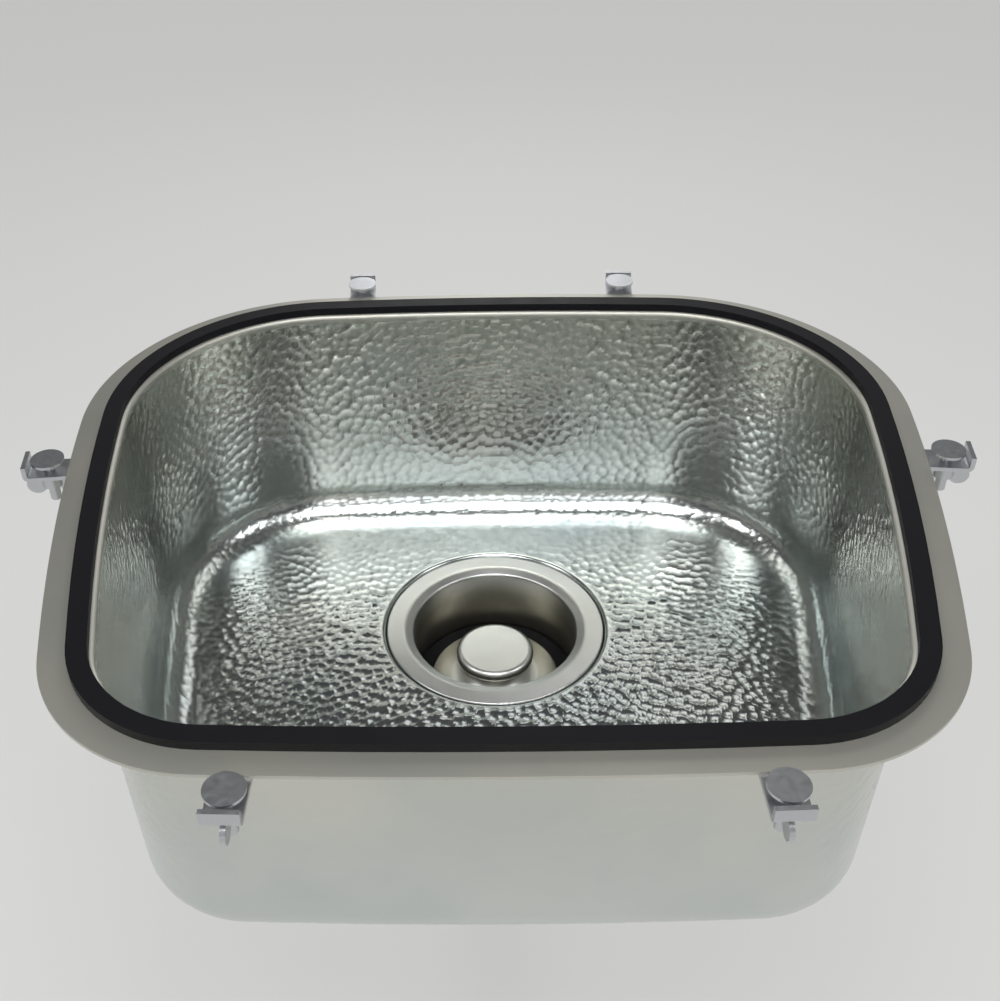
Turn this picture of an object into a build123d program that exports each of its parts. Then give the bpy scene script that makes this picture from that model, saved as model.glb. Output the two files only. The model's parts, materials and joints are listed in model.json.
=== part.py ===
from build123d import *
import math
import os

# An undermount prep sink: a hammered bowl, its drain, a lift-out stopper and six mounting clips.
# Millimetres. X is right, Y is towards the back, Z is up. The origin is the centre of the
# counter cut-out, on the plane where the rim seal meets the counter's underside.

# Counter cut-out, seen from above: bowed front, sides and back with round corners
CUTOUT_WIDTH = 355.6
CUTOUT_LENGTH = 304.8
FRONT_BOW_RADIUS = 2750.0
SIDE_BOW_RADIUS = 1150.0
BACK_BOW_RADIUS = 1640.0
FRONT_CORNER_RADIUS = 52.5
BACK_CORNER_RADIUS = 93.5
SIDE_LEAN = 4.0

# Bowl, pressed from one sheet
SHEET = 1.5
FLANGE_WIDTH = 19.0
BOWL_DEPTH = 127.0
WALL_DRAFT = 1.5
FLOOR_FILLET = 18.0
RIM_BEND_INSIDE = 0.5

# Seal between the bowl's flange and the counter
RIM_SEAL_THICKNESS = 4.0
RIM_SEAL_WIDTH = 8.0

# Recess pressed into the floor round the drain
DRAIN_SET_BACK = 42.0
RECESS_DEPTH = 4.4
RECESS_SLOPE_WIDTH = 0.5
RECESS_CLEARANCE = 0.3
RECESS_SHOULDER_ROUND = 2.5
RECESS_FOOT_ROUND = 0.4
DRAIN_HOLE_CLEARANCE = 1.2

# Drain body: flange, throat, stopper ledge, lower cup, strainer and outlet
DRAIN_FLANGE_DIAMETER = 114.3
DRAIN_FLANGE_SUNK = 0.6
DRAIN_FLANGE_EDGE_ROUND = 0.8
DRAIN_WALL = 1.6
DRAIN_FLANGE_FACE = 9.15
LIP_RUN = 4.8
LIP_DROP = 1.9
LIP_ROUND = 6.0
THROAT_EDGE_ROUND = 1.3
THROAT_DEPTH = 40.0
LEDGE_WIDTH = 6.0
LOWER_CUP_DEPTH = 59.0
LOWER_CUP_ROUND = 5.0
OUTLET_BORE = 38.5
OUTLET_WALL = 3.2
OUTLET_LENGTH = 16.0
STRAINER_BAR_COUNT = 3
STRAINER_BAR_WIDTH = 2.5
STRAINER_HUB_DIAMETER = 11.0
STRAINER_RIM_WIDTH = 1.0

# Rings and nut that clamp the drain body to the bowl
DRAIN_SEAL_THICKNESS = 1.0
DRAIN_SEAL_INSET = 0.5
GASKET_INSET = 1.15
GASKET_THICKNESS = 3.0
FRICTION_RING_THICKNESS = 1.0
RING_CLEARANCE = 0.4
THREAD_CLEARANCE = 0.05
LOCK_NUT_HEIGHT = 12.0
LOCK_NUT_WALL = 5.0
LOCK_NUT_FLANGE_HEIGHT = 3.0
LOCK_NUT_LUG_COUNT = 6
LOCK_NUT_LUG_LENGTH = 5.0
LOCK_NUT_LUG_WIDTH = 9.0
LOCK_NUT_LUG_ROUND = 2.0

# Tailpiece, its washer and the coupling nut that holds it to the outlet
TAILPIECE_DIAMETER = 38.1
TAILPIECE_WALL = 1.2
TAILPIECE_LENGTH = 100.0
TAILPIECE_NECK_WALL = 1.7
COLLAR_THICKNESS = 2.0
COLLAR_CLEARANCE = 0.3
NECK_OVERHANG = 1.0
TAIL_WASHER_THICKNESS = 2.0
COUPLING_NUT_WALL = 4.0
COUPLING_NUT_SHOULDER = 3.0
COUPLING_NUT_ENGAGEMENT = 10.0
COUPLING_NUT_EDGE_ROUND = 1.0
COUPLING_NUT_RIB_COUNT = 12
COUPLING_NUT_RIB_WIDTH = 4.0
COUPLING_NUT_RIB_HEIGHT = 1.6

# Stopper: plate, rubber ring, backing disc, knob and the screw that holds them together
STOPPER_PLATE_INSET = 9.0
STOPPER_PLATE_THICKNESS = 2.0
STOPPER_PLATE_EDGE_ROUND = 0.6
STOPPER_SEAL_THICKNESS = 2.5
STOPPER_SEAL_CLEARANCE = 0.5
STOPPER_SEAL_EDGE_ROUND = 0.7
BACKING_THICKNESS = 1.5
BACKING_CLEARANCE = 0.8
KNOB_DIAMETER = 41.2
KNOB_HEIGHT = 19.0
KNOB_HEAD_THICKNESS = 5.4
KNOB_TOP_ROUND = 3.0
KNOB_UNDER_ROUND = 1.6
KNOB_FOOT_DIAMETER = 48.0
KNOB_FOOT_THICKNESS = 0.8
SCREW_DIAMETER = 5.0
SCREW_HOLE_CLEARANCE = 0.1
SCREW_ENGAGEMENT = 9.0
SCREW_HOLE_SPARE_DEPTH = 1.0
SCREW_HEAD_DIAMETER = 9.0
SCREW_HEAD_HEIGHT = 3.0
SCREW_HEAD_ROUND = 1.0
SCREW_SLOT_WIDTH = 1.2
SCREW_SLOT_DEPTH = 1.4

# Where the mounting clips stand along the rim
FRONT_CLIP_X = 92.0
BACK_CLIP_X = 70.0
SIDE_CLIP_Y = 15.0

# Parts of each clip: anchor stud, clip, washer and wing nut
STUD_OFFSET = 9.0
STUD_DIAMETER = 5.0
STUD_LENGTH = 20.5
STUD_TIP_CHAMFER = 0.6
ANCHOR_DIAMETER = 15.0
ANCHOR_THICKNESS = 1.5
ANCHOR_EDGE_ROUND = 0.4
CLIP_THICKNESS = 2.0
CLIP_WIDTH = 14.0
CLIP_FINGER_REACH = 13.0
CLIP_FINGER_ROUND = 3.0
CLIP_HEEL_GAP = 1.2
CLIP_BEND_INSIDE = 0.8
CLIP_HOLE_CLEARANCE = 0.05
WASHER_DIAMETER = 11.0
WASHER_THICKNESS = 1.0
WASHER_CLEARANCE = 0.3
WING_NUT_HUB_DIAMETER = 9.0
WING_NUT_HUB_HEIGHT = 5.5
WING_NUT_SPAN = 23.0
WING_NUT_WING_HEIGHT = 9.0
WING_NUT_WING_THICKNESS = 2.0
WING_NUT_WING_GAP = 0.4

# Levels worked out from the sizes above
FLANGE_TOP_Z = -RIM_SEAL_THICKNESS
FLOOR_Z = FLANGE_TOP_Z - BOWL_DEPTH
RECESS_Z = FLOOR_Z - RECESS_DEPTH
DRAIN_TOP_Z = FLOOR_Z - DRAIN_FLANGE_SUNK
DRAIN_UNDER_Z = RECESS_Z + DRAIN_SEAL_THICKNESS
GASKET_TOP_Z = RECESS_Z - SHEET
FRICTION_RING_TOP_Z = GASKET_TOP_Z - GASKET_THICKNESS
LOCK_NUT_TOP_Z = FRICTION_RING_TOP_Z - FRICTION_RING_THICKNESS
LEDGE_Z = DRAIN_TOP_Z - THROAT_DEPTH
CUP_FLOOR_Z = DRAIN_TOP_Z - LOWER_CUP_DEPTH
OUTLET_TOP_Z = CUP_FLOOR_Z - DRAIN_WALL
OUTLET_END_Z = OUTLET_TOP_Z - OUTLET_LENGTH
COLLAR_TOP_Z = OUTLET_END_Z - TAIL_WASHER_THICKNESS
COLLAR_UNDER_Z = COLLAR_TOP_Z - COLLAR_THICKNESS
PLATE_UNDER_Z = LEDGE_Z + STOPPER_SEAL_THICKNESS
KNOB_FOOT_Z = PLATE_UNDER_Z + STOPPER_PLATE_THICKNESS
BACKING_UNDER_Z = LEDGE_Z - BACKING_THICKNESS
CLIP_TOP_Z = FLANGE_TOP_Z - SHEET
CLIP_UNDER_Z = CLIP_TOP_Z - CLIP_THICKNESS
WASHER_UNDER_Z = CLIP_UNDER_Z - WASHER_THICKNESS

# Radii worked out from the sizes above
RIM_BEND = RIM_BEND_INSIDE + SHEET
CLIP_BEND = CLIP_BEND_INSIDE + CLIP_THICKNESS
DRAIN_FLANGE_RADIUS = DRAIN_FLANGE_DIAMETER / 2
LIP_RADIUS = DRAIN_FLANGE_RADIUS - DRAIN_FLANGE_FACE
THROAT_RADIUS = LIP_RADIUS - LIP_RUN
THREAD_RADIUS = THROAT_RADIUS + DRAIN_WALL
LOWER_CUP_RADIUS = THROAT_RADIUS - LEDGE_WIDTH
OUTLET_RADIUS = OUTLET_BORE / 2
OUTLET_THREAD_RADIUS = OUTLET_RADIUS + OUTLET_WALL
DRAIN_HOLE_RADIUS = THREAD_RADIUS + DRAIN_HOLE_CLEARANCE
RECESS_RADIUS = DRAIN_FLANGE_RADIUS + RECESS_CLEARANCE
GASKET_RADIUS = DRAIN_FLANGE_RADIUS - GASKET_INSET
STOPPER_PLATE_RADIUS = THROAT_RADIUS - STOPPER_PLATE_INSET
COLLAR_RADIUS = OUTLET_THREAD_RADIUS - COLLAR_CLEARANCE
TAILPIECE_RADIUS = TAILPIECE_DIAMETER / 2
TAILPIECE_BORE_RADIUS = TAILPIECE_RADIUS - TAILPIECE_WALL
NECK_RADIUS = TAILPIECE_BORE_RADIUS + TAILPIECE_NECK_WALL
ANCHOR_RADIUS = ANCHOR_DIAMETER / 2
STUD_RADIUS = STUD_DIAMETER / 2
SCREW_RADIUS = SCREW_DIAMETER / 2

AT_DRAIN = Pos(0, DRAIN_SET_BACK, 0)


def ring(outer_radius, inner_radius, top, height):
    """A flat ring about the Z axis, its upper face at top."""
    face = Circle(outer_radius) - Circle(inner_radius)
    return Pos(0, 0, top - height) * extrude(face, amount=height)


def disc(radius, top, height):
    """A solid disc about the Z axis, its upper face at top."""
    return Pos(0, 0, top - height) * extrude(Circle(radius), amount=height)


def turned(points):
    """A solid of revolution about the Z axis from a closed list of (radius, z) points."""
    return revolve(Plane.XZ * make_face(Polyline(*points, close=True)), Axis.Z)


def circles_at(solid, radius, z):
    """The circular edges of a solid about the Z axis with this radius and level."""
    wanted = []
    for edge in solid.edges().filter_by(GeomType.CIRCLE):
        centre = edge.arc_center
        on_axis = math.hypot(centre.X, centre.Y) < 1e-3
        if on_axis and abs(centre.Z - z) < 1e-3 and abs(edge.radius - radius) < 1e-3:
            wanted.append(edge)
    return wanted


def bow_centres():
    """Centres of the front, back and right-hand bows of the cut-out."""
    front = (0.0, FRONT_BOW_RADIUS - CUTOUT_LENGTH / 2)
    back = (0.0, CUTOUT_LENGTH / 2 - BACK_BOW_RADIUS)
    corner_x = CUTOUT_WIDTH / 2 - BACK_CORNER_RADIUS
    corner_reach = BACK_BOW_RADIUS - BACK_CORNER_RADIUS
    corner_y = back[1] + math.sqrt(corner_reach**2 - corner_x**2)
    side_reach = SIDE_BOW_RADIUS - BACK_CORNER_RADIUS
    lean = math.radians(SIDE_LEAN)
    side = (corner_x - side_reach * math.cos(lean), corner_y + side_reach * math.sin(lean))
    return front, back, side


def outline(grow):
    """The cut-out's outline, moved outwards by grow, as a flat face at z = 0."""
    front, back, side = bow_centres()
    face = Pos(*front) * Circle(FRONT_BOW_RADIUS + grow)
    face &= Pos(*back) * Circle(BACK_BOW_RADIUS + grow)
    face &= Pos(*side) * Circle(SIDE_BOW_RADIUS + grow)
    face &= Pos(-side[0], side[1]) * Circle(SIDE_BOW_RADIUS + grow)
    front_pair = face.vertices().sort_by(Axis.Y)[:2]
    face = fillet(front_pair, FRONT_CORNER_RADIUS + grow)
    back_pair = face.vertices().sort_by(Axis.Y)[-2:]
    return fillet(back_pair, BACK_CORNER_RADIUS + grow)


def tub(grow, depth, bottom_round):
    """A drafted tub from the flange's upper face down, with a rounded bottom edge."""
    solid = Pos(0, 0, FLANGE_TOP_Z) * extrude(outline(grow), amount=-depth, taper=WALL_DRAFT)
    return fillet(solid.faces().sort_by(Axis.Z)[0].edges(), bottom_round)


def recess(floor_z, foot_radius, shoulder_round, foot_round):
    """The round recess as a solid: a short cone under the floor, rounded at shoulder and foot."""
    foot_z = floor_z - RECESS_DEPTH
    shoulder_radius = foot_radius + RECESS_SLOPE_WIDTH
    rim_radius = shoulder_radius + shoulder_round
    points = [
        (0, floor_z + SHEET),
        (0, foot_z),
        (foot_radius, foot_z),
        (shoulder_radius, floor_z),
        (rim_radius, floor_z),
        (rim_radius, floor_z + SHEET),
    ]
    solid = turned(points)
    solid = fillet(circles_at(solid, shoulder_radius, floor_z), shoulder_round)
    return fillet(circles_at(solid, foot_radius, foot_z), foot_round)


def opening_edges(solid, level):
    """The edges round the opening in the flat face of the flange at this level."""
    flat = solid.faces().filter_by(Plane.XY)
    at_level = [face for face in flat if abs(face.center().Z - level) < 1e-3]
    flange_face = max(at_level, key=lambda face: face.area)
    return flange_face.inner_wires()[0].edges()


def bowl():
    """The bowl: flange, drafted walls, floor with a recess and the drain hole."""
    inside = tub(-RIM_BEND, BOWL_DEPTH, FLOOR_FILLET)
    wall_offset = SHEET / math.cos(math.radians(WALL_DRAFT)) - RIM_BEND
    outside = tub(wall_offset, BOWL_DEPTH + SHEET, FLOOR_FILLET + SHEET)
    flange = Pos(0, 0, FLANGE_TOP_Z) * extrude(outline(FLANGE_WIDTH), amount=-SHEET)
    slope = math.atan2(RECESS_DEPTH, RECESS_SLOPE_WIDTH)
    outer_foot = RECESS_RADIUS + SHEET * math.tan(slope / 2)
    pressed_in = recess(FLOOR_Z, RECESS_RADIUS, RECESS_SHOULDER_ROUND, RECESS_FOOT_ROUND)
    pressed_out = recess(
        FLOOR_Z - SHEET, outer_foot, RECESS_SHOULDER_ROUND - SHEET, RECESS_FOOT_ROUND + SHEET
    )
    solid = outside + flange + AT_DRAIN * pressed_out
    solid -= inside
    solid -= AT_DRAIN * pressed_in
    solid -= AT_DRAIN * disc(DRAIN_HOLE_RADIUS, FLOOR_Z, BOWL_DEPTH)
    solid = fillet(opening_edges(solid, FLANGE_TOP_Z), RIM_BEND)
    return fillet(opening_edges(solid, FLANGE_TOP_Z - SHEET), RIM_BEND_INSIDE)


def rim_seal():
    """The flat seal round the cut-out, on the bowl's flange."""
    face = outline(RIM_SEAL_WIDTH) - outline(0)
    return extrude(face, amount=-RIM_SEAL_THICKNESS)


def strainer_opening():
    """The holes in the cup floor: a circle crossed by bars that meet in a hub."""
    face = Circle(OUTLET_RADIUS - STRAINER_RIM_WIDTH) - Circle(STRAINER_HUB_DIAMETER / 2)
    for turn in range(STRAINER_BAR_COUNT):
        bar = Rectangle(OUTLET_BORE, STRAINER_BAR_WIDTH)
        face -= Rot(0, 0, turn * 180 / STRAINER_BAR_COUNT) * bar
    return face


def drain_body():
    """The drain body, turned in one piece, with its strainer cut through the cup floor."""
    cup_outer_radius = LOWER_CUP_RADIUS + DRAIN_WALL
    step_z = LEDGE_Z - DRAIN_WALL
    throat_top_z = DRAIN_TOP_Z - LIP_DROP
    points = [
        (LIP_RADIUS, DRAIN_TOP_Z),
        (THROAT_RADIUS, throat_top_z),
        (THROAT_RADIUS, LEDGE_Z),
        (LOWER_CUP_RADIUS, LEDGE_Z),
        (LOWER_CUP_RADIUS, CUP_FLOOR_Z),
        (0, CUP_FLOOR_Z),
        (0, OUTLET_TOP_Z),
        (OUTLET_RADIUS, OUTLET_TOP_Z),
        (OUTLET_RADIUS, OUTLET_END_Z),
        (OUTLET_THREAD_RADIUS, OUTLET_END_Z),
        (OUTLET_THREAD_RADIUS, OUTLET_TOP_Z),
        (cup_outer_radius, OUTLET_TOP_Z),
        (cup_outer_radius, step_z),
        (THREAD_RADIUS, step_z),
        (THREAD_RADIUS, DRAIN_UNDER_Z),
        (DRAIN_FLANGE_RADIUS, DRAIN_UNDER_Z),
        (DRAIN_FLANGE_RADIUS, DRAIN_TOP_Z),
    ]
    solid = turned(points)
    solid = fillet(circles_at(solid, LIP_RADIUS, DRAIN_TOP_Z), LIP_ROUND)
    solid = fillet(circles_at(solid, THROAT_RADIUS, throat_top_z), THROAT_EDGE_ROUND)
    solid = fillet(circles_at(solid, LOWER_CUP_RADIUS, CUP_FLOOR_Z), LOWER_CUP_ROUND)
    outer_corner = circles_at(solid, cup_outer_radius, OUTLET_TOP_Z)
    solid = fillet(outer_corner, LOWER_CUP_ROUND + DRAIN_WALL)
    top_edge = circles_at(solid, DRAIN_FLANGE_RADIUS, DRAIN_TOP_Z)
    solid = fillet(top_edge, DRAIN_FLANGE_EDGE_ROUND)
    groove_outer = DRAIN_FLANGE_RADIUS - DRAIN_WALL
    groove_top = DRAIN_TOP_Z - DRAIN_WALL
    solid -= ring(groove_outer, LIP_RADIUS + DRAIN_WALL, groove_top, groove_top - DRAIN_UNDER_Z)
    cut = extrude(strainer_opening(), amount=CUP_FLOOR_Z - OUTLET_TOP_Z)
    solid -= Pos(0, 0, OUTLET_TOP_Z) * cut
    return AT_DRAIN * solid


def drain_seal():
    """The thin seal under the drain flange."""
    outer = DRAIN_FLANGE_RADIUS - DRAIN_SEAL_INSET
    return AT_DRAIN * ring(outer, THREAD_RADIUS + RING_CLEARANCE, DRAIN_UNDER_Z, DRAIN_SEAL_THICKNESS)


def gasket():
    """The rubber gasket under the bowl."""
    inner = THREAD_RADIUS + RING_CLEARANCE
    return AT_DRAIN * ring(GASKET_RADIUS, inner, GASKET_TOP_Z, GASKET_THICKNESS)


def friction_ring():
    """The fibre ring that lets the lock nut slide round on the gasket."""
    inner = THREAD_RADIUS + RING_CLEARANCE
    return AT_DRAIN * ring(GASKET_RADIUS, inner, FRICTION_RING_TOP_Z, FRICTION_RING_THICKNESS)


def lock_nut():
    """The large nut on the throat, with lugs for a wrench."""
    bore = THREAD_RADIUS + THREAD_CLEARANCE
    hub = bore + LOCK_NUT_WALL
    solid = ring(hub, bore, LOCK_NUT_TOP_Z, LOCK_NUT_HEIGHT)
    solid += ring(GASKET_RADIUS, bore, LOCK_NUT_TOP_Z, LOCK_NUT_FLANGE_HEIGHT)
    lug_start = bore + LOCK_NUT_WALL / 2
    lug_length = hub + LOCK_NUT_LUG_LENGTH - lug_start
    lug = Pos(lug_start + lug_length / 2, 0, LOCK_NUT_TOP_Z - LOCK_NUT_HEIGHT / 2) * Box(
        lug_length, LOCK_NUT_LUG_WIDTH, LOCK_NUT_HEIGHT
    )
    lug = fillet(lug.edges().filter_by(Axis.Z).sort_by(Axis.X)[-2:], LOCK_NUT_LUG_ROUND)
    for turn in range(LOCK_NUT_LUG_COUNT):
        solid += Rot(0, 0, turn * 360 / LOCK_NUT_LUG_COUNT) * lug
    return AT_DRAIN * solid


def tail_washer():
    """The flat washer between the outlet and the tailpiece collar."""
    return AT_DRAIN * ring(COLLAR_RADIUS, OUTLET_RADIUS, OUTLET_END_Z, TAIL_WASHER_THICKNESS)


def tailpiece():
    """The straight outlet tube, with a collar and a thicker neck at its top."""
    neck_length = COLLAR_THICKNESS + COUPLING_NUT_SHOULDER + NECK_OVERHANG
    tube = ring(TAILPIECE_RADIUS, TAILPIECE_BORE_RADIUS, COLLAR_TOP_Z, TAILPIECE_LENGTH)
    tube += ring(NECK_RADIUS, TAILPIECE_BORE_RADIUS, COLLAR_TOP_Z, neck_length)
    tube += ring(COLLAR_RADIUS, TAILPIECE_BORE_RADIUS, COLLAR_TOP_Z, COLLAR_THICKNESS)
    return AT_DRAIN * tube


def coupling_nut():
    """The ribbed nut that draws the tailpiece collar up against the outlet."""
    bore = OUTLET_THREAD_RADIUS + THREAD_CLEARANCE
    outer = bore + COUPLING_NUT_WALL
    top = OUTLET_END_Z + COUPLING_NUT_ENGAGEMENT
    bottom = COLLAR_UNDER_Z - COUPLING_NUT_SHOULDER
    height = top - bottom
    solid = disc(outer, top, height)
    rib_depth = COUPLING_NUT_RIB_HEIGHT + COUPLING_NUT_WALL / 2
    rib_centre = outer + COUPLING_NUT_RIB_HEIGHT - rib_depth / 2
    rib = Pos(rib_centre, 0, top - height / 2) * Box(rib_depth, COUPLING_NUT_RIB_WIDTH, height)
    rib = fillet(rib.edges().filter_by(Axis.Z).sort_by(Axis.X)[-2:], COUPLING_NUT_EDGE_ROUND)
    for turn in range(COUPLING_NUT_RIB_COUNT):
        solid += Rot(0, 0, turn * 360 / COUPLING_NUT_RIB_COUNT) * rib
    solid -= disc(bore, top, top - COLLAR_UNDER_Z)
    solid -= disc(NECK_RADIUS + COLLAR_CLEARANCE, top, height)
    return AT_DRAIN * solid


def stopper_seal():
    """The rubber ring that closes the throat on its ledge."""
    outer = THROAT_RADIUS - STOPPER_SEAL_CLEARANCE
    bore = SCREW_RADIUS + SCREW_HOLE_CLEARANCE
    solid = ring(outer, bore, PLATE_UNDER_Z, STOPPER_SEAL_THICKNESS)
    edges = circles_at(solid, outer, PLATE_UNDER_Z) + circles_at(solid, outer, LEDGE_Z)
    return AT_DRAIN * fillet(edges, STOPPER_SEAL_EDGE_ROUND)


def stopper_plate():
    """The metal plate on top of the rubber ring."""
    bore = SCREW_RADIUS + SCREW_HOLE_CLEARANCE
    solid = ring(STOPPER_PLATE_RADIUS, bore, KNOB_FOOT_Z, STOPPER_PLATE_THICKNESS)
    top_edge = circles_at(solid, STOPPER_PLATE_RADIUS, KNOB_FOOT_Z)
    return AT_DRAIN * fillet(top_edge, STOPPER_PLATE_EDGE_ROUND)


def stopper_backing():
    """The thin disc that clamps the rubber ring from below."""
    outer = LOWER_CUP_RADIUS - BACKING_CLEARANCE
    bore = SCREW_RADIUS + SCREW_HOLE_CLEARANCE
    return AT_DRAIN * ring(outer, bore, LEDGE_Z, BACKING_THICKNESS)


def stopper_knob():
    """The mushroom knob: a flat head with a rounded edge over a flared foot."""
    head = KNOB_DIAMETER / 2
    foot = KNOB_FOOT_DIAMETER / 2
    top = KNOB_FOOT_Z + KNOB_HEIGHT
    head_under = top - KNOB_HEAD_THICKNESS
    foot_top = KNOB_FOOT_Z + KNOB_FOOT_THICKNESS
    flare = head_under - foot_top
    stem = foot - flare
    lines = Polyline(
        (stem, head_under), (head, head_under), (head, top), (0, top),
        (0, KNOB_FOOT_Z), (foot, KNOB_FOOT_Z), (foot, foot_top),
    )
    flare_arc = CenterArc((foot, head_under), flare, 180, 90)
    solid = revolve(Plane.XZ * make_face(lines + flare_arc), Axis.Z)
    solid = fillet(circles_at(solid, head, top), KNOB_TOP_ROUND)
    solid = fillet(circles_at(solid, head, head_under), KNOB_UNDER_ROUND)
    hole_depth = SCREW_ENGAGEMENT + SCREW_HOLE_SPARE_DEPTH
    solid -= disc(SCREW_RADIUS + SCREW_HOLE_CLEARANCE, KNOB_FOOT_Z + hole_depth, hole_depth)
    return AT_DRAIN * solid


def stopper_screw():
    """The screw that joins backing disc, rubber ring and plate to the knob."""
    tip_z = KNOB_FOOT_Z + SCREW_ENGAGEMENT
    head_end_z = BACKING_UNDER_Z - SCREW_HEAD_HEIGHT
    head_radius = SCREW_HEAD_DIAMETER / 2
    head = disc(head_radius, BACKING_UNDER_Z, SCREW_HEAD_HEIGHT)
    head = fillet(circles_at(head, head_radius, head_end_z), SCREW_HEAD_ROUND)
    slot = Pos(0, 0, head_end_z + SCREW_SLOT_DEPTH / 2) * Box(
        SCREW_HEAD_DIAMETER, SCREW_SLOT_WIDTH, SCREW_SLOT_DEPTH
    )
    shank = disc(SCREW_RADIUS, tip_z, tip_z - BACKING_UNDER_Z)
    return AT_DRAIN * (head - slot + shank)


def anchor_stud():
    """The stud with its bonding plate, which lies against the counter's underside."""
    plate = disc(ANCHOR_RADIUS, 0, ANCHOR_THICKNESS)
    plate = fillet(circles_at(plate, ANCHOR_RADIUS, -ANCHOR_THICKNESS), ANCHOR_EDGE_ROUND)
    stud = disc(STUD_RADIUS, -ANCHOR_THICKNESS, STUD_LENGTH)
    tip = circles_at(stud, STUD_RADIUS, -ANCHOR_THICKNESS - STUD_LENGTH)
    return plate + chamfer(tip, STUD_TIP_CHAMFER)


def clip():
    """The clip: a finger under the flange and a heel that bears on the counter."""
    tip_x = -CLIP_FINGER_REACH - STUD_OFFSET
    heel_in = ANCHOR_RADIUS + CLIP_HEEL_GAP
    heel_out = heel_in + CLIP_THICKNESS
    side = Polyline(
        (tip_x, CLIP_TOP_Z), (heel_in, CLIP_TOP_Z), (heel_in, 0), (heel_out, 0),
        (heel_out, CLIP_UNDER_Z), (tip_x, CLIP_UNDER_Z), close=True,
    )
    solid = extrude(Plane.XZ * make_face(side), amount=CLIP_WIDTH / 2, both=True)
    along = solid.edges().filter_by(Axis.Y)
    outer_bend = along.sort_by(lambda e: e.center().X - e.center().Z)[-1:]
    solid = fillet(outer_bend, CLIP_BEND)
    inner_bend = [
        edge
        for edge in solid.edges().filter_by(Axis.Y)
        if math.hypot(edge.center().X - heel_in, edge.center().Z - CLIP_TOP_Z) < 1e-3
    ]
    solid = fillet(inner_bend, CLIP_BEND_INSIDE)
    tip_corners = solid.edges().filter_by(Axis.Z).sort_by(Axis.X)[:2]
    solid = fillet(tip_corners, CLIP_FINGER_ROUND)
    hole = disc(STUD_RADIUS + CLIP_HOLE_CLEARANCE, CLIP_TOP_Z, CLIP_THICKNESS)
    return solid - hole


def washer():
    """The flat washer under the clip."""
    return ring(WASHER_DIAMETER / 2, STUD_RADIUS + WASHER_CLEARANCE, CLIP_UNDER_Z, WASHER_THICKNESS)


def wing_nut():
    """The wing nut: a hub with two rounded wings."""
    hub_radius = WING_NUT_HUB_DIAMETER / 2
    solid = disc(hub_radius, WASHER_UNDER_Z, WING_NUT_HUB_HEIGHT)
    wing_reach = WING_NUT_SPAN / 2 - STUD_RADIUS
    wing_z = WASHER_UNDER_Z - WING_NUT_WING_GAP - WING_NUT_WING_HEIGHT / 2
    for direction in (-1, 1):
        wing_x = direction * (STUD_RADIUS + wing_reach / 2)
        face = Plane.XZ * Pos(wing_x, wing_z) * Ellipse(wing_reach / 2, WING_NUT_WING_HEIGHT / 2)
        solid += extrude(face, amount=WING_NUT_WING_THICKNESS / 2, both=True)
    bore_height = WING_NUT_HUB_HEIGHT + WING_NUT_WING_HEIGHT
    return solid - disc(STUD_RADIUS + THREAD_CLEARANCE, WASHER_UNDER_Z, bore_height)


def stud_place(centre, bow_radius, angle):
    """A place outside the flange on a bow, with its X axis pointing away from the bowl."""
    reach = bow_radius + FLANGE_WIDTH + STUD_OFFSET
    turn = math.radians(angle)
    x = centre[0] + reach * math.cos(turn)
    y = centre[1] + reach * math.sin(turn)
    return Location((x, y, 0), (0, 0, angle))


def clip_places():
    """The name and place of each clip."""
    front, back, side = bow_centres()
    front_turn = math.degrees(math.asin(FRONT_CLIP_X / FRONT_BOW_RADIUS))
    back_turn = math.degrees(math.asin(BACK_CLIP_X / BACK_BOW_RADIUS))
    side_turn = math.degrees(math.asin((SIDE_CLIP_Y - side[1]) / SIDE_BOW_RADIUS))
    mirrored_side = (-side[0], side[1])
    return {
        "front_left": stud_place(front, FRONT_BOW_RADIUS, -90 - front_turn),
        "front_right": stud_place(front, FRONT_BOW_RADIUS, -90 + front_turn),
        "back_left": stud_place(back, BACK_BOW_RADIUS, 90 + back_turn),
        "back_right": stud_place(back, BACK_BOW_RADIUS, 90 - back_turn),
        "left": stud_place(mirrored_side, SIDE_BOW_RADIUS, 180 - side_turn),
        "right": stud_place(side, SIDE_BOW_RADIUS, side_turn),
    }


def all_parts():
    """Every sub-part by name."""
    parts = {
        "bowl": bowl(),
        "rim_seal": rim_seal(),
        "drain_body": drain_body(),
        "drain_seal": drain_seal(),
        "gasket": gasket(),
        "friction_ring": friction_ring(),
        "lock_nut": lock_nut(),
        "tail_washer": tail_washer(),
        "tailpiece": tailpiece(),
        "coupling_nut": coupling_nut(),
        "stopper_seal": stopper_seal(),
        "stopper_plate": stopper_plate(),
        "stopper_backing": stopper_backing(),
        "stopper_knob": stopper_knob(),
        "stopper_screw": stopper_screw(),
    }
    for place_name, place in clip_places().items():
        parts[f"anchor_stud_{place_name}"] = place * anchor_stud()
        parts[f"clip_{place_name}"] = place * clip()
        parts[f"clip_washer_{place_name}"] = place * washer()
        parts[f"wing_nut_{place_name}"] = place * wing_nut()
    return parts


os.makedirs("parts", exist_ok=True)
for node, shape in all_parts().items():
    export_step(shape, f"parts/{node}.step")
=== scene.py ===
import json
import math

import bpy
import numpy as np
from mathutils import Matrix, Vector, kdtree


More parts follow.
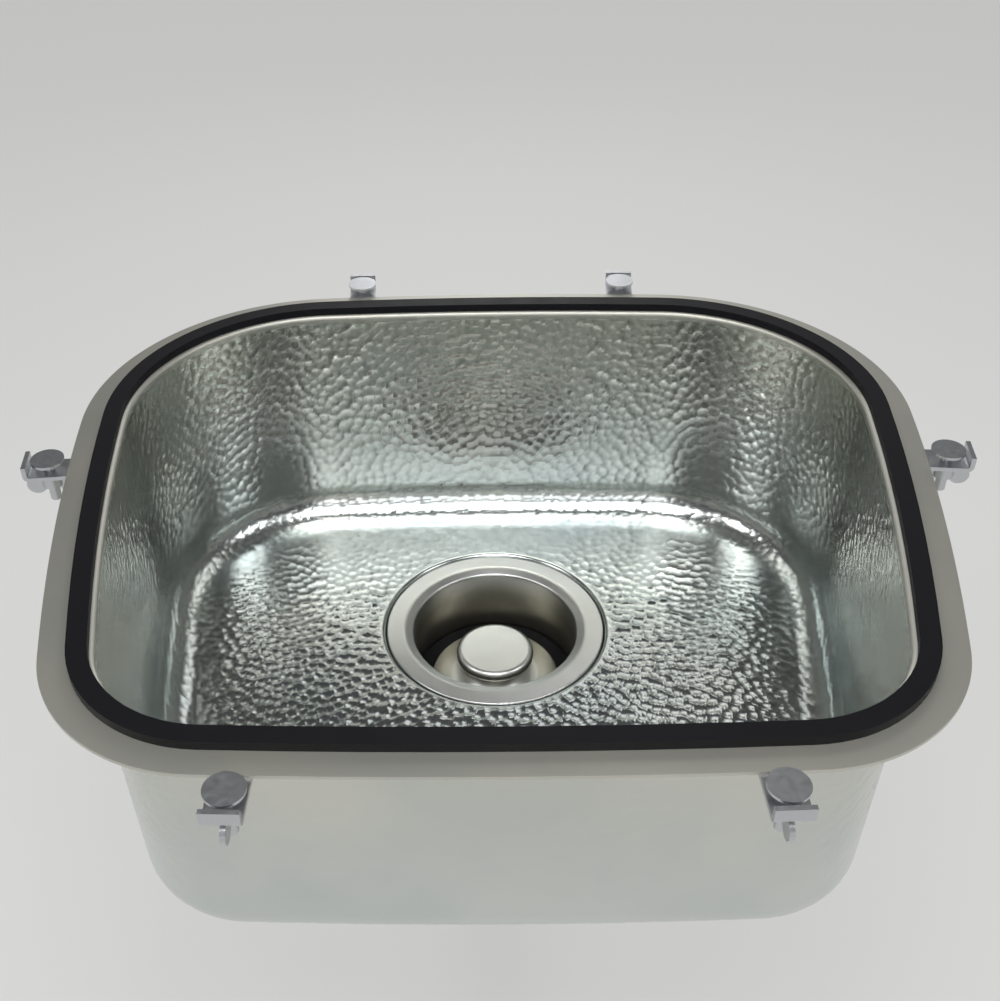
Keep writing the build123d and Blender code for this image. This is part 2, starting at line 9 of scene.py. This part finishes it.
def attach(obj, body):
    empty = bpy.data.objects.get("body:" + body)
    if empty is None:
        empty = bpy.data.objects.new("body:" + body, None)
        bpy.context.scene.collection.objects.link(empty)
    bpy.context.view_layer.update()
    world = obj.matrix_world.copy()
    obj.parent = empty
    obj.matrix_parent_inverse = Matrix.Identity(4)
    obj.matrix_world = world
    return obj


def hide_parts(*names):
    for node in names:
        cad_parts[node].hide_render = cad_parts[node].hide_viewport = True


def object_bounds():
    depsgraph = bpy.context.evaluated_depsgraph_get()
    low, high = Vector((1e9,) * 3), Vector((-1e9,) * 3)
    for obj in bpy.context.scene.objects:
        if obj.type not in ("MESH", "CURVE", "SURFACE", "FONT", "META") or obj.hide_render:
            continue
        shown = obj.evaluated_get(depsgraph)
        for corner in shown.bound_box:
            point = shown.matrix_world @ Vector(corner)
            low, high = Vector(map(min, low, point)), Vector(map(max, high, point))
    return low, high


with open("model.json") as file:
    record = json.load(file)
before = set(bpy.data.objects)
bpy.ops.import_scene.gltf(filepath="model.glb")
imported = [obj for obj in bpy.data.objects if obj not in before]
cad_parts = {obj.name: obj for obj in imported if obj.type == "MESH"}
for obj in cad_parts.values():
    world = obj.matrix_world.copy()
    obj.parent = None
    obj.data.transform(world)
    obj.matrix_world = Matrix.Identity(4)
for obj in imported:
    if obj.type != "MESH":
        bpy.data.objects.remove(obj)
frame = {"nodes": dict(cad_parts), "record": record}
cad_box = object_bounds()

# An undermount prep sink. Metres. X is right, Y is towards the back, Z is up. The origin is the
# centre of the counter cut-out, on the counter's underside.

# Camera
CAMERA_PLACE = (-0.00798, -0.45522, 0.32582)
CAMERA_PITCH = 36.97
CAMERA_YAW = -0.945
CAMERA_ROLL = -1.163
CAMERA_LENS = 45.6
CAMERA_SHIFT = 0.0381

# Outline of the bowl's opening
OPENING_WIDTH = 0.3556
OPENING_LENGTH = 0.3048
FRONT_BOW = 2.75
SIDE_BOW = 1.15
BACK_BOW = 1.64
FRONT_CORNER = 0.0525
BACK_CORNER = 0.0935
SIDE_LEAN = 4.0

# Section of the bowl
SHEET = 0.0015
FLANGE_TOP = -0.004
FLANGE_WIDTH = 0.019
BOWL_DEPTH = 0.127
WALL_DRAFT = 1.5
RIM_ROUND = 0.002
FLOOR_ROUND = 0.018

# Recess round the drain
DRAIN_Y = 0.042
RECESS_DEPTH = 0.0044
RECESS_RADIUS = 0.05745
RECESS_SLOPE = 0.0005
SHOULDER_ROUND = 0.0025
FOOT_ROUND = 0.0004
DRAIN_HOLE_RADIUS = 0.046

# The nickel has painted shade deep in the drain's throat: full below one height, fading out by the
# other, and none on the stopper's knob
THROAT_FULL_SHADE_Z = -0.146
THROAT_SHADE_END_Z = -0.136
KNOB_RADIUS = 0.0215
KNOB_EDGE = 0.003

# Hammer dents
DENT_SPACING = 0.0041
DENT_BEND = 0.016
DENT_SOFTNESS = 0.00001
DENT_DEPTH_VARIATION = 0.00006
DENT_SEED = 7
OUTSIDE_DENTS = 0.8

# Strength of the dents. Each pair is where a change begins and where it ends.
RIM_FADE = (0.0005, 0.004)
WALL_DENTS = 0.85
LOW_WALL_LOSS = 0.6
LOW_WALL_FADE = (0.055, 0.105)
FLOOR_DENTS = 1.35
FLOOR_EDGE_DENTS = 0.3
FLOOR_EDGE_FADE = (0.0, 0.014)
DRAIN_FADE = (0.0015, 0.006)
FLOOR_BACK_LOSS = 0.8
FLOOR_BACK_FADE = (0.055, 0.115)

# Lamps
LAMP_AIM = (0, 0.04, -0.13)
LAMP_DISTANCE = 1.2
LAMP_WIDTH = 0.35
LAMP_LENGTH = 0.3
# Name, turn and rise in degrees, power in watts. The turn goes from behind to the right.
LAMPS = (
    ("low_back_light", 0, 28, 1.1),
    ("back_light", 14, 46, 0.4),
    ("right_light", 104, 50, 1.5),
    ("high_right_light", 150, 62, 0.9),
    ("front_light", 180, 37, 0.8),
    ("high_front_light", 180, 60, 1.0),
    ("overhead", 180, 76, 2.8),
    ("high_left_light", 210, 62, 1.4),
    ("left_light", 256, 50, 1.8),
)

# Studio. The horizon and the ceiling are each a height in the sky, from 0 to 1, and a grey level.
FLOOR_COLOUR = (0.8, 0.8, 0.79)
FLOOR_HALF = 4.0
FLOOR_GAP = 0.0004
FLOOR_GLOW = 0.6
HORIZON = (0.15, 0.8)
CEILING = (0.45, 0.07)

# Mesh steps
ALONG_STEP = 0.00125
FLOOR_ROWS = 76


def bow_centres():
    """Centres of the front, back and right-hand bows of the opening."""
    front = np.array((0.0, FRONT_BOW - OPENING_LENGTH / 2))
    back = np.array((0.0, OPENING_LENGTH / 2 - BACK_BOW))
    corner_x = OPENING_WIDTH / 2 - BACK_CORNER
    corner_y = back[1] + math.sqrt((BACK_BOW - BACK_CORNER) ** 2 - corner_x**2)
    back_corner = np.array((corner_x, corner_y))
    lean = math.radians(SIDE_LEAN)
    side_reach = SIDE_BOW - BACK_CORNER
    side = back_corner + side_reach * np.array((-math.cos(lean), math.sin(lean)))
    return front, back, side, back_corner


def crossing(centre_a, radius_a, centre_b, radius_b):
    """The lower right crossing of two circles."""
    apart = centre_b - centre_a
    distance = np.linalg.norm(apart)
    along = (radius_a**2 - radius_b**2 + distance**2) / (2 * distance)
    across = math.sqrt(radius_a**2 - along**2)
    unit = apart / distance
    foot = centre_a + along * unit
    normal = np.array((-unit[1], unit[0]))
    return max(foot + across * normal, foot - across * normal, key=lambda p: p[0])


def outline(step):
    """Points and outward normals round the opening, evenly spaced, from the front middle."""
    front, back, side, back_corner = bow_centres()
    front_corner = crossing(front, FRONT_BOW - FRONT_CORNER, side, SIDE_BOW - FRONT_CORNER)

    def direction(start, end):
        return math.atan2(end[1] - start[1], end[0] - start[0])

    down, up = -math.pi / 2, math.pi / 2
    front_turn = direction(front, front_corner)
    low_turn = direction(side, front_corner)
    high_turn = direction(side, back_corner)
    back_turn = direction(back, back_corner)
    arcs = [
        (front, FRONT_BOW, down, front_turn),
        (front_corner, FRONT_CORNER, front_turn, low_turn),
        (side, SIDE_BOW, low_turn, high_turn),
        (back_corner, BACK_CORNER, high_turn, back_turn),
        (back, BACK_BOW, back_turn, up),
    ]
    lengths = [radius * (end - start) for _, radius, start, end in arcs]
    count = round(sum(lengths) / step)
    ends = np.cumsum([0.0] + lengths)
    points, normals = [], []
    for travelled in np.linspace(0, ends[-1], count + 1):
        k = min(int(np.searchsorted(ends, travelled, side="right")) - 1, len(arcs) - 1)
        centre, radius, start, _ = arcs[k]
        turn = start + (travelled - ends[k]) / radius
        normal = np.array((math.cos(turn), math.sin(turn)))
        points.append(centre + radius * normal)
        normals.append(normal)
    mirror = np.array((-1.0, 1.0))
    points = np.array(points + [p * mirror for p in points[-2:0:-1]])
    normals = np.array(normals + [n * mirror for n in normals[-2:0:-1]])
    return points, normals


def rounded(corners, step):
    """A polyline with rounded corners. Each corner is (across, height, radius)."""
    line = []
    for k, (x, z, radius) in enumerate(corners):
        here = np.array((x, z))
        if radius == 0:
            line.append(here)
            continue
        before = np.array(corners[k - 1][:2]) - here
        after = np.array(corners[k + 1][:2]) - here
        before /= np.linalg.norm(before)
        after /= np.linalg.norm(after)
        half = math.acos(np.clip(before @ after, -1, 1)) / 2
        middle = before + after
        centre = here + middle / np.linalg.norm(middle) * radius / math.sin(half)
        first = here + before * radius / math.tan(half) - centre
        sweep = math.pi - 2 * half
        sweep *= math.copysign(1, before[1] * after[0] - before[0] * after[1])
        count = max(3, math.ceil(abs(sweep) * radius / step))
        for turn in np.linspace(0, sweep, count + 1):
            c, s = math.cos(turn), math.sin(turn)
            line.append(centre + (c * first[0] - s * first[1], s * first[0] + c * first[1]))
    return np.array(line)


def divided(line, step):
    """The line with its long stretches divided into steps."""
    out = [line[0]]
    for start, end in zip(line[:-1], line[1:]):
        count = max(1, math.ceil(np.linalg.norm(end - start) / step))
        out += [start + (end - start) * k / count for k in range(1, count + 1)]
    return np.array(out)


def grid_normals(grid):
    """Normals of a grid of points whose columns close on themselves."""
    along = np.roll(grid, -1, 1) - np.roll(grid, 1, 1)
    across = np.gradient(grid, axis=0)
    normals = np.cross(along, across)
    return normals / np.linalg.norm(normals, axis=2, keepdims=True)


def bowl_grid():
    """The bowl's inner face without dents, in rows from the flange's edge to the drain hole.

    Also the row where the flat floor begins."""
    points, normals = outline(ALONG_STEP)
    floor_z = FLANGE_TOP - BOWL_DEPTH
    foot = RIM_ROUND + BOWL_DEPTH * math.tan(math.radians(WALL_DRAFT))
    section = [
        (-FLANGE_WIDTH, FLANGE_TOP, 0),
        (RIM_ROUND, FLANGE_TOP, RIM_ROUND),
        (foot, floor_z, FLOOR_ROUND),
        (foot + 2 * FLOOR_ROUND, floor_z, 0),
    ]
    section = divided(rounded(section, ALONG_STEP)[:-1], ALONG_STEP)
    wall = [
        np.column_stack((points - inset * normals, np.full(len(points), z))) for inset, z in section
    ]

    centre = np.array((0.0, DRAIN_Y))
    reach = wall[-1][:, :2] - centre
    distance = np.linalg.norm(reach, axis=1)
    rays = reach / distance[:, None]
    recess = [
        (RECESS_RADIUS + RECESS_SLOPE + 3 * SHOULDER_ROUND, floor_z, 0),
        (RECESS_RADIUS + RECESS_SLOPE, floor_z, SHOULDER_ROUND),
        (RECESS_RADIUS, floor_z - RECESS_DEPTH, FOOT_ROUND),
        (DRAIN_HOLE_RADIUS, floor_z - RECESS_DEPTH, 0),
    ]
    recess = divided(rounded(recess, ALONG_STEP / 2)[1:], ALONG_STEP)

    def round_row(radius, z):
        radius = np.broadcast_to(radius, len(rays))
        return np.column_stack((centre + rays * radius[:, None], np.full(len(rays), z)))

    shares = np.linspace(0, 1, FLOOR_ROWS + 1)[1:-1]
    floor = [round_row(distance + (recess[0][0] - distance) * share, floor_z) for share in shares]
    drain = [round_row(radius, z) for radius, z in recess]
    return np.array(wall + floor + drain), len(wall) - 1


def scattered(points, spacing, rng):
    """Some of the points in random order, none nearer than spacing to another."""
    tree = kdtree.KDTree(len(points))
    for k, point in enumerate(points):
        tree.insert(point, k)
    tree.balance()
    free = np.ones(len(points), bool)
    kept = []
    for k in rng.permutation(len(points)):
        if free[k]:
            kept.append(points[k])
            for _, near, _ in tree.find_range(points[k], spacing):
                free[near] = False
    return np.array(kept)


def dent_field(points, rng):
    """How deep each point lies in the overlapping dents at full strength, and the slope there."""
    places = scattered(points, DENT_SPACING, rng)
    places += rng.normal(0, ALONG_STEP / 3, places.shape)
    levels = rng.uniform(0, DENT_DEPTH_VARIATION, len(places))
    tree = kdtree.KDTree(len(places))
    for k, place in enumerate(places):
        tree.insert(place, k)
    tree.balance()
    nearest = 4
    apart = np.empty((len(points), nearest))
    which = np.empty((len(points), nearest), int)
    for k, point in enumerate(points):
        for j, (_, index, distance) in enumerate(tree.find_n(point, nearest)):
            apart[k, j] = distance
            which[k, j] = index
    dishes = apart**2 / (2 * DENT_BEND) - levels[which]
    lowest = dishes.min(1)
    blend = np.exp(-(dishes - lowest[:, None]) / DENT_SOFTNESS)
    dish = lowest - DENT_SOFTNESS * np.log(blend.sum(1))
    share = blend / blend.sum(1, keepdims=True)
    slope = (points - (share[..., None] * places[which]).sum(1)) / DENT_BEND
    return DENT_SPACING**2 / (3 * DENT_BEND) - dish, slope


def smooth(value, low, high):
    """0 below low, 1 above high, and a smooth step between."""
    t = np.clip((value - low) / (high - low), 0, 1)
    return t * t * (3 - 2 * t)


def dent_strength(grid, floor_row):
    """How strongly each point is hammered: less low down and at the back, none at the drain."""
    depth = FLANGE_TOP - grid[..., 2]
    strength = smooth(depth, *RIM_FADE)
    strength *= WALL_DENTS * (1 - LOW_WALL_LOSS * smooth(depth, *LOW_WALL_FADE))
    floor = grid[floor_row:]
    from_edge = np.linalg.norm(floor[..., :2] - grid[floor_row][None, :, :2], axis=2)
    from_drain = np.hypot(floor[..., 0], floor[..., 1] - DRAIN_Y) - RECESS_RADIUS
    inwards = smooth(from_edge, *FLOOR_EDGE_FADE)
    floor_strength = FLOOR_EDGE_DENTS + (1 - FLOOR_EDGE_DENTS) * inwards
    floor_strength *= smooth(from_drain, *DRAIN_FADE)
    floor_strength *= 1 - FLOOR_BACK_LOSS * smooth(floor[..., 1], *FLOOR_BACK_FADE)
    strength[floor_row:] = FLOOR_DENTS * floor_strength
    return strength


def closed_sheet(name, inner, outer, inner_normals):
    """A ring of sheet metal between an inner and an outer grid of points.

    The columns close on themselves, and the outer face uses every second row and column."""
    row_count, turns = inner.shape[:2]
    rows = [np.arange(row_count), np.unique(np.append(np.arange(0, row_count, 2), row_count - 1))]
    columns = [np.arange(turns), np.arange(0, turns, 2)]
    points, normals, quads, index = [], [], [], []
    faces = ((inner, inner_normals, 1), (outer, -grid_normals(outer), -1))
    for k, (face, face_normals, sign) in enumerate(faces):
        picked = np.ix_(rows[k], columns[k])
        start = sum(len(block) for block in points)
        points.append(face[picked].reshape(-1, 3))
        normals.append(face_normals[picked].reshape(-1, 3))
        grid = start + np.arange(len(points[k])).reshape(len(rows[k]), -1)
        index.append(grid)
        beside = np.roll(grid, -1, 1)
        corners = [grid[:-1], beside[:-1], beside[1:], grid[1:]]
        quads.append(np.stack(corners[::sign], axis=-1).reshape(-1, 4))
    quads = np.concatenate(quads)

    strips = []
    for end, sign in ((0, 1), (-1, -1)):
        fine, coarse = index[0][end], index[1][end]
        even, odd = fine[::2], fine[1::2]
        between = np.column_stack((coarse, np.roll(coarse, -1), np.roll(even, -1), odd, even))
        strips += between[:, ::sign].tolist()

    mesh = bpy.data.meshes.new(name)
    mesh.from_pydata(np.concatenate(points).tolist(), [], quads.tolist() + strips)
    mesh.update()
    corner_normals = np.empty((len(mesh.loops), 3))
    corner_normals[: quads.size] = np.concatenate(normals)[quads.ravel()]
    for polygon in mesh.polygons[len(quads):]:
        for k in polygon.loop_indices:
            corner_normals[k] = polygon.normal
    mesh.polygons.foreach_set("use_smooth", np.ones(len(mesh.polygons), bool))
    mesh.normals_split_custom_set(corner_normals.tolist())
    piece = bpy.data.objects.new(name, mesh)
    bpy.context.scene.collection.objects.link(piece)
    return piece


def make_bowl(material):
    """The hammered bowl, in place of the plain one."""
    rng = np.random.default_rng(DENT_SEED)
    grid, floor_row = bowl_grid()
    plain_normals = grid_normals(grid)
    field, slope = dent_field(grid.reshape(-1, 3), rng)
    strength = dent_strength(grid, floor_row)[..., None]
    depth = field.reshape(grid.shape[:2] + (1,)) * strength
    slope = slope.reshape(grid.shape) * strength
    slope -= plain_normals * (slope * plain_normals).sum(2, keepdims=True)
    inner = grid - plain_normals * depth
    inner_normals = plain_normals - slope
    inner_normals /= np.linalg.norm(inner_normals, axis=2, keepdims=True)
    outer = grid - plain_normals * (SHEET + OUTSIDE_DENTS * depth)
    piece = closed_sheet("hammered_bowl", inner, outer, inner_normals)
    piece.data.materials.append(material)
    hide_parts("bowl")
    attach(piece, "sink")


def new_material(name, colour, roughness, metallic):
    """A material with its nodes cleared down to one shader, and that shader."""
    made = bpy.data.materials.new(name)
    made.use_nodes = True
    nodes = made.node_tree.nodes
    nodes.clear()
    shader = nodes.new("ShaderNodeBsdfPrincipled")
    output = nodes.new("ShaderNodeOutputMaterial")
    made.node_tree.links.new(shader.outputs["BSDF"], output.inputs["Surface"])
    shader.inputs["Base Color"].default_value = (*colour, 1)
    shader.inputs["Roughness"].default_value = roughness
    shader.inputs["Metallic"].default_value = metallic
    return made, shader


def noise(made, scale, detail=3.0):
    """A noise texture on the object's own coordinates, stretched by scale on each axis."""
    nodes, links = made.node_tree.nodes, made.node_tree.links
    place = nodes.new("ShaderNodeTexCoord")
    stretch = nodes.new("ShaderNodeMapping")
    stretch.inputs["Scale"].default_value = scale
    texture = nodes.new("ShaderNodeTexNoise")
    texture.inputs["Scale"].default_value = 1.0
    texture.inputs["Detail"].default_value = detail
    links.new(place.outputs["Object"], stretch.inputs["Vector"])
    links.new(stretch.outputs["Vector"], texture.inputs["Vector"])
    return texture.outputs["Fac"]


def axis_distance(made):
    """How far a point of the object lies from the drain's axis."""
    nodes, links = made.node_tree.nodes, made.node_tree.links
    place = nodes.new("ShaderNodeTexCoord")
    split = nodes.new("ShaderNodeSeparateXYZ")
    flat = nodes.new("ShaderNodeCombineXYZ")
    radius = nodes.new("ShaderNodeVectorMath")
    radius.operation = "DISTANCE"
    radius.inputs[1].default_value = (0, DRAIN_Y, 0)
    links.new(place.outputs["Object"], split.inputs["Vector"])
    links.new(split.outputs["X"], flat.inputs["X"])
    links.new(split.outputs["Y"], flat.inputs["Y"])
    links.new(flat.outputs["Vector"], radius.inputs[0])
    return radius.outputs["Value"]


def turned_marks(made, scale):
    """Fine uneven rings round the drain's axis, as a lathe or a polishing wheel leaves them."""
    texture = made.node_tree.nodes.new("ShaderNodeTexNoise")
    texture.noise_dimensions = "1D"
    texture.inputs["Scale"].default_value = scale
    made.node_tree.links.new(axis_distance(made), texture.inputs["W"])
    return texture.outputs["Fac"]


def ramp(made, value, low, high, low_colour, high_colour):
    """A colour that goes from one to another as value goes from low to high."""
    node = made.node_tree.nodes.new("ShaderNodeValToRGB")
    node.color_ramp.elements[0].position = low
    node.color_ramp.elements[1].position = high
    node.color_ramp.elements[0].color = (*low_colour, 1)
    node.color_ramp.elements[1].color = (*high_colour, 1)
    made.node_tree.links.new(value, node.inputs["Fac"])
    return node.outputs["Color"]


def span(made, value, low, high, first=0.0, last=1.0):
    """The value, from first to last, moved to between low and high."""
    node = made.node_tree.nodes.new("ShaderNodeMapRange")
    node.inputs["From Min"].default_value = first
    node.inputs["From Max"].default_value = last
    node.inputs["To Min"].default_value = low
    node.inputs["To Max"].default_value = high
    made.node_tree.links.new(value, node.inputs["Value"])
    return node.outputs["Result"]


def height_share(made, low, high):
    """How high a point of the object lies, 0 at low and 1 at high."""
    nodes, links = made.node_tree.nodes, made.node_tree.links
    place = nodes.new("ShaderNodeTexCoord")
    split = nodes.new("ShaderNodeSeparateXYZ")
    share = nodes.new("ShaderNodeMapRange")
    share.inputs["From Min"].default_value = low
    share.inputs["From Max"].default_value = high
    links.new(place.outputs["Object"], split.inputs["Vector"])
    links.new(split.outputs["Z"], share.inputs["Value"])
    return share.outputs["Result"]


def mixed(made, share, low_colour, high_colour):
    """One colour output where share is 0 and another where it is 1."""
    node = made.node_tree.nodes.new("ShaderNodeMix")
    node.data_type = "RGBA"
    links = made.node_tree.links
    links.new(share, node.inputs["Factor"])
    links.new(low_colour, node.inputs["A"])
    links.new(high_colour, node.inputs["B"])
    return node.outputs["Result"]


def greater(made, first, second):
    """The greater of two values."""
    node = made.node_tree.nodes.new("ShaderNodeMath")
    node.operation = "MAXIMUM"
    made.node_tree.links.new(first, node.inputs[0])
    made.node_tree.links.new(second, node.inputs[1])
    return node.outputs["Value"]


def bump(made, shader, height, distance):
    """Adds a bump to the shader, on top of one that it has already."""
    node = made.node_tree.nodes.new("ShaderNodeBump")
    node.inputs["Distance"].default_value = distance
    links = made.node_tree.links
    links.new(height, node.inputs["Height"])
    if shader.inputs["Normal"].is_linked:
        links.new(shader.inputs["Normal"].links[0].from_socket, node.inputs["Normal"])
    links.new(node.outputs["Normal"], shader.inputs["Normal"])


def uneven_roughness(made, shader, low, high, scale, detail=3.0):
    """Lets the roughness wander between low and high."""
    rough = span(made, noise(made, (scale, scale, scale), detail), low, high)
    made.node_tree.links.new(rough, shader.inputs["Roughness"])


def hammered_steel():
    made, shader = new_material("hammered_steel", (0.62, 0.63, 0.61), 0.25, 1.0)
    links = made.node_tree.links
    blotches = noise(made, (14, 14, 14), detail=4)
    cool = ramp(made, blotches, 0.35, 0.65, (0.56, 0.61, 0.61), (0.62, 0.65, 0.63))
    warm = ramp(made, blotches, 0.35, 0.65, (0.60, 0.60, 0.55), (0.66, 0.65, 0.58))
    height = height_share(made, FLANGE_TOP - BOWL_DEPTH, FLANGE_TOP)
    links.new(mixed(made, height, cool, warm), shader.inputs["Base Color"])
    polished = span(made, noise(made, (60, 60, 60)), 0.17, 0.24)
    rim = span(made, height_share(made, FLANGE_TOP - 0.005, FLANGE_TOP - 0.001), 0.2, 0.5)
    links.new(greater(made, polished, rim), shader.inputs["Roughness"])
    bump(made, shader, noise(made, (90, 90, 2500), detail=2), 0.00001)
    bump(made, shader, noise(made, (1400, 1400, 1400), detail=2), 0.000008)
    return made


def satin_nickel():
    made, shader = new_material("satin_nickel", (0.71, 0.715, 0.695), 0.3, 1.0)
    links = made.node_tree.links
    blotches = noise(made, (45, 45, 45))
    # Painted shade: the nickel is darkened and browned deep in the drain's throat, where shade
    # falls.
    painted_throat_shade = ramp(made, blotches, 0.35, 0.65, (0.40, 0.39, 0.33), (0.46, 0.45, 0.39))
    open_face = ramp(made, blotches, 0.35, 0.65, (0.70, 0.71, 0.69), (0.73, 0.735, 0.715))
    above_painted_shade = height_share(made, THROAT_FULL_SHADE_Z, THROAT_SHADE_END_Z)
    knob = span(made, axis_distance(made), 1, 0, KNOB_RADIUS, KNOB_RADIUS + KNOB_EDGE)
    colour = mixed(made, greater(made, above_painted_shade, knob), painted_throat_shade, open_face)
    links.new(colour, shader.inputs["Base Color"])
    uneven_roughness(made, shader, 0.3, 0.38, 150)
    bump(made, shader, turned_marks(made, 2200), 0.000012)
    bump(made, shader, noise(made, (2500, 2500, 2500), detail=2), 0.000005)
    return made


def bright_nickel():
    made, shader = new_material("bright_nickel", (0.72, 0.72, 0.71), 0.2, 1.0)
    uneven_roughness(made, shader, 0.14, 0.24, 70)
    bump(made, shader, turned_marks(made, 2600), 0.000005)
    return made


def black_rubber():
    made, shader = new_material("black_rubber", (0.006, 0.006, 0.008), 0.5, 0.0)
    shader.inputs["Specular IOR Level"].default_value = 0.2
    uneven_roughness(made, shader, 0.42, 0.58, 90)
    bump(made, shader, noise(made, (1500, 1500, 1500)), 0.00002)
    return made


def zinc_steel():
    made, shader = new_material("zinc_steel", (0.58, 0.59, 0.61), 0.35, 1.0)
    uneven_roughness(made, shader, 0.28, 0.48, 400, detail=5)
    bump(made, shader, noise(made, (1800, 1800, 1800)), 0.00001)
    return made


def plain(name, colour, roughness, metallic=0.0):
    made, shader = new_material(name, colour, roughness, metallic)
    uneven_roughness(made, shader, roughness - 0.06, roughness + 0.06, 200)
    bump(made, shader, noise(made, (1200, 1200, 1200)), 0.00001)
    return made


def heading(turn, rise):
    """The direction that goes from behind to the right by turn, and upwards by rise."""
    level = math.cos(rise)
    return Vector((math.sin(turn) * level, math.cos(turn) * level, math.sin(rise)))


def make_camera():
    pitch, yaw, roll = (math.radians(a) for a in (CAMERA_PITCH, CAMERA_YAW, CAMERA_ROLL))
    ahead = heading(yaw, -pitch)
    level = Vector((math.cos(yaw), -math.sin(yaw), 0))
    above = level.cross(ahead)
    right = math.cos(roll) * level + math.sin(roll) * above
    up = math.cos(roll) * above - math.sin(roll) * level
    turn = Matrix((right, up, -ahead)).transposed()
    data = bpy.data.cameras.new("camera")
    data.sensor_width = 36
    data.lens = CAMERA_LENS
    data.shift_x = CAMERA_SHIFT
    camera = bpy.data.objects.new("camera", data)
    camera.matrix_world = Matrix.Translation(CAMERA_PLACE) @ turn.to_4x4()
    bpy.context.scene.collection.objects.link(camera)
    bpy.context.scene.camera = camera


def softbox(name, turn, rise, power):
    """A lamp that faces the bowl's floor, from the direction that turn and rise give."""
    away = heading(math.radians(turn), math.radians(rise))
    data = bpy.data.lights.new(name, "AREA")
    data.shape = "RECTANGLE"
    data.size = LAMP_WIDTH
    data.size_y = LAMP_LENGTH
    data.energy = power
    lamp = bpy.data.objects.new(name, data)
    lamp.location = Vector(LAMP_AIM) + LAMP_DISTANCE * away
    lamp.rotation_euler = (-away).to_track_quat("-Z", "Y").to_euler()
    lamp.visible_camera = False
    bpy.context.scene.collection.objects.link(lamp)


def seen_or_reflected(nodes, links):
    """1 for what the camera sees directly or in a reflection, and 0 for other light."""
    path = nodes.new("ShaderNodeLightPath")
    either = nodes.new("ShaderNodeMath")
    either.operation = "MAXIMUM"
    links.new(path.outputs["Is Camera Ray"], either.inputs[0])
    links.new(path.outputs["Is Glossy Ray"], either.inputs[1])
    return either.outputs["Value"]


def make_floor():
    """The pale plain floor that the sink's tailpiece just clears."""
    half, z = FLOOR_HALF, cad_box[0].z - FLOOR_GAP
    mesh = bpy.data.meshes.new("studio_floor")
    corners = [(-half, -half, z), (half, -half, z), (half, half, z), (-half, half, z)]
    mesh.from_pydata(corners, [], [(0, 1, 2, 3)])
    made, shader = new_material("studio_floor", FLOOR_COLOUR, 0.9, 0.0)
    nodes, links = made.node_tree.nodes, made.node_tree.links
    glow = nodes.new("ShaderNodeEmission")
    glow.inputs["Color"].default_value = (*FLOOR_COLOUR, 1)
    mix = nodes.new("ShaderNodeMixShader")
    part = nodes.new("ShaderNodeMath")
    part.operation = "MULTIPLY"
    part.inputs[1].default_value = FLOOR_GLOW
    links.new(seen_or_reflected(nodes, links), part.inputs[0])
    links.new(part.outputs["Value"], mix.inputs["Fac"])
    links.new(shader.outputs["BSDF"], mix.inputs[1])
    links.new(glow.outputs["Emission"], mix.inputs[2])
    links.new(mix.outputs["Shader"], nodes["Material Output"].inputs["Surface"])
    mesh.materials.append(made)
    floor = bpy.data.objects.new("studio_floor", mesh)
    bpy.context.scene.collection.objects.link(floor)


def make_world():
    """A pale horizon under a darker studio ceiling."""
    world = bpy.data.worlds.new("studio")
    bpy.context.scene.world = world
    world.use_nodes = True
    nodes, links = world.node_tree.nodes, world.node_tree.links
    nodes.clear()
    place = nodes.new("ShaderNodeTexCoord")
    split = nodes.new("ShaderNodeSeparateXYZ")
    shade = nodes.new("ShaderNodeValToRGB")
    for element, (height, grey) in zip(shade.color_ramp.elements, (HORIZON, CEILING)):
        element.position = height
        element.color = (grey, grey, grey, 1)
    background = nodes.new("ShaderNodeBackground")
    output = nodes.new("ShaderNodeOutputWorld")
    links.new(place.outputs["Generated"], split.inputs["Vector"])
    links.new(split.outputs["Z"], shade.inputs["Fac"])
    links.new(shade.outputs["Color"], background.inputs["Color"])
    links.new(background.outputs["Background"], output.inputs["Surface"])


bpy.context.scene.view_settings.view_transform = "Standard"
make_camera()
make_floor()
make_world()
for lamp in LAMPS:
    softbox(*lamp)

finishes = {
    "hammered_steel": hammered_steel(),
    "brushed_nickel": satin_nickel(),
    "bright_nickel": bright_nickel(),
    "black_rubber": black_rubber(),
    "grey_putty": plain("grey_putty", (0.35, 0.34, 0.32), 0.7),
    "fibre": plain("fibre", (0.42, 0.3, 0.2), 0.75),
    "raw_brass": plain("raw_brass", (0.68, 0.53, 0.28), 0.38, 1.0),
    "white_plastic": plain("white_plastic", (0.8, 0.8, 0.77), 0.35),
    "zinc_steel": zinc_steel(),
}
for subpart in frame["record"]["subparts"]:
    part = frame["nodes"][subpart["node"]]
    part.data.materials.clear()
    part.data.materials.append(finishes[subpart["material_slot"]])

make_bowl(finishes["hammered_steel"])
